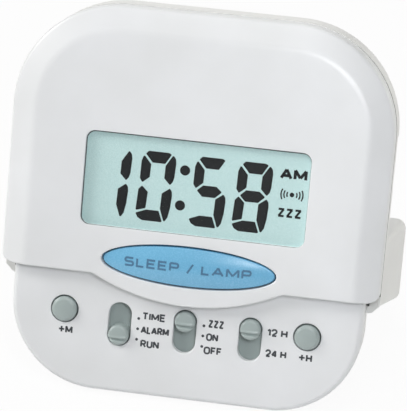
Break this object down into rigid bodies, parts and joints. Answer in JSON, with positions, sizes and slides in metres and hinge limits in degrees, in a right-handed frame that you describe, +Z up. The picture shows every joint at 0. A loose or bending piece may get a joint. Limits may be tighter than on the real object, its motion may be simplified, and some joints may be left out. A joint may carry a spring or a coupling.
{
  "type": "desk alarm clock",
  "caption": "Small leaning digital desk alarm clock with a snooze key, round set keys, slide switches and a battery case behind.",
  "frame": {"origin": "middle of the clock's box on the surface that it stands on, under the flat base", "axes": "+X to the right seen from the front, +Y to the back, +Z up; the face leans back 20 degrees"},
  "size_m": [0.0886, 0.0452, 0.0824],
  "materials": {
    "shell_white": "satin moulded ABS",
    "clear_window": "clear polished acrylic",
    "snooze_blue": "tinted glossy moulded plastic",
    "key_grey": "satin moulded ABS",
    "display_glass": "display glass with polariser",
    "frame_plastic": "moulded plastic",
    "guide_plastic": "clear moulded acrylic",
    "lamp_body": "clear epoxy",
    "rubber_strip": "conductive rubber",
    "board_laminate": "green solder mask on laminate",
    "chip_epoxy": "black potting",
    "crystal_can": "drawn metal can",
    "capacitor_ceramic": "fired ceramic",
    "buzzer_brass": "stamped brass disc",
    "cell_jacket": "printed plain jacket",
    "spring_metal": "nickel plated spring sheet",
    "screw_steel": "zinc plated steel"
  },
  "bodies": {
    "case": {"front_cover": "shell_white", "front_panel": "shell_white", "rear_case": "shell_white", "window_lens": "clear_window", "positive_contact": "spring_metal", "negative_contact": "spring_metal", "lcd_panel": "display_glass", "lcd_frame": "frame_plastic", "light_guide": "guide_plastic", "lamp": "lamp_body", "lcd_connector": "rubber_strip", "key_pads": "rubber_strip", "main_board": "board_laminate", "clock_chip": "chip_epoxy", "quartz_crystal": "crystal_can", "capacitors": "capacitor_ceramic", "buzzer": "buzzer_brass", "buzzer_contacts": "spring_metal", "battery_cell": "cell_jacket", "case_screws": "screw_steel", "board_screws": "screw_steel"},
    "snooze": {"snooze_button": "snooze_blue"},
    "minute": {"minute_button": "key_grey"},
    "hour": {"hour_button": "key_grey"},
    "mode": {"mode_slider": "key_grey", "mode_wiper": "spring_metal"},
    "alarm": {"alarm_slider": "key_grey", "alarm_wiper": "spring_metal"},
    "format": {"format_slider": "key_grey", "format_wiper": "spring_metal"},
    "door": {"battery_door": "shell_white"}
  },
  "joints": [
    {"name": "snooze_press", "type": "slide", "parent": "case", "child": "snooze", "axis": [0, 0.9397, -0.342], "range_m": [0, 0.0008], "stiffness_N_per_m": 1500},
    {"name": "minute_press", "type": "slide", "parent": "case", "child": "minute", "axis": [0, 0.9397, -0.342], "range_m": [0, 0.0007], "stiffness_N_per_m": 1500},
    {"name": "hour_press", "type": "slide", "parent": "case", "child": "hour", "axis": [0, 0.9397, -0.342], "range_m": [0, 0.0007], "stiffness_N_per_m": 1500},
    {"name": "mode_slide", "type": "slide", "parent": "case", "child": "mode", "axis": [0, 0.342, 0.9397], "range_m": [0, 0.0047]},
    {"name": "alarm_slide", "type": "slide", "parent": "case", "child": "alarm", "axis": [0, 0.342, 0.9397], "range_m": [-0.0047, 0]},
    {"name": "format_slide", "type": "slide", "parent": "case", "child": "format", "axis": [0, 0.342, 0.9397], "range_m": [-0.0047, 0]},
    {"name": "door_slide", "type": "slide", "parent": "case", "child": "door", "axis": [0, 0.342, 0.9397], "range_m": [0, 0.025]}
  ]
}
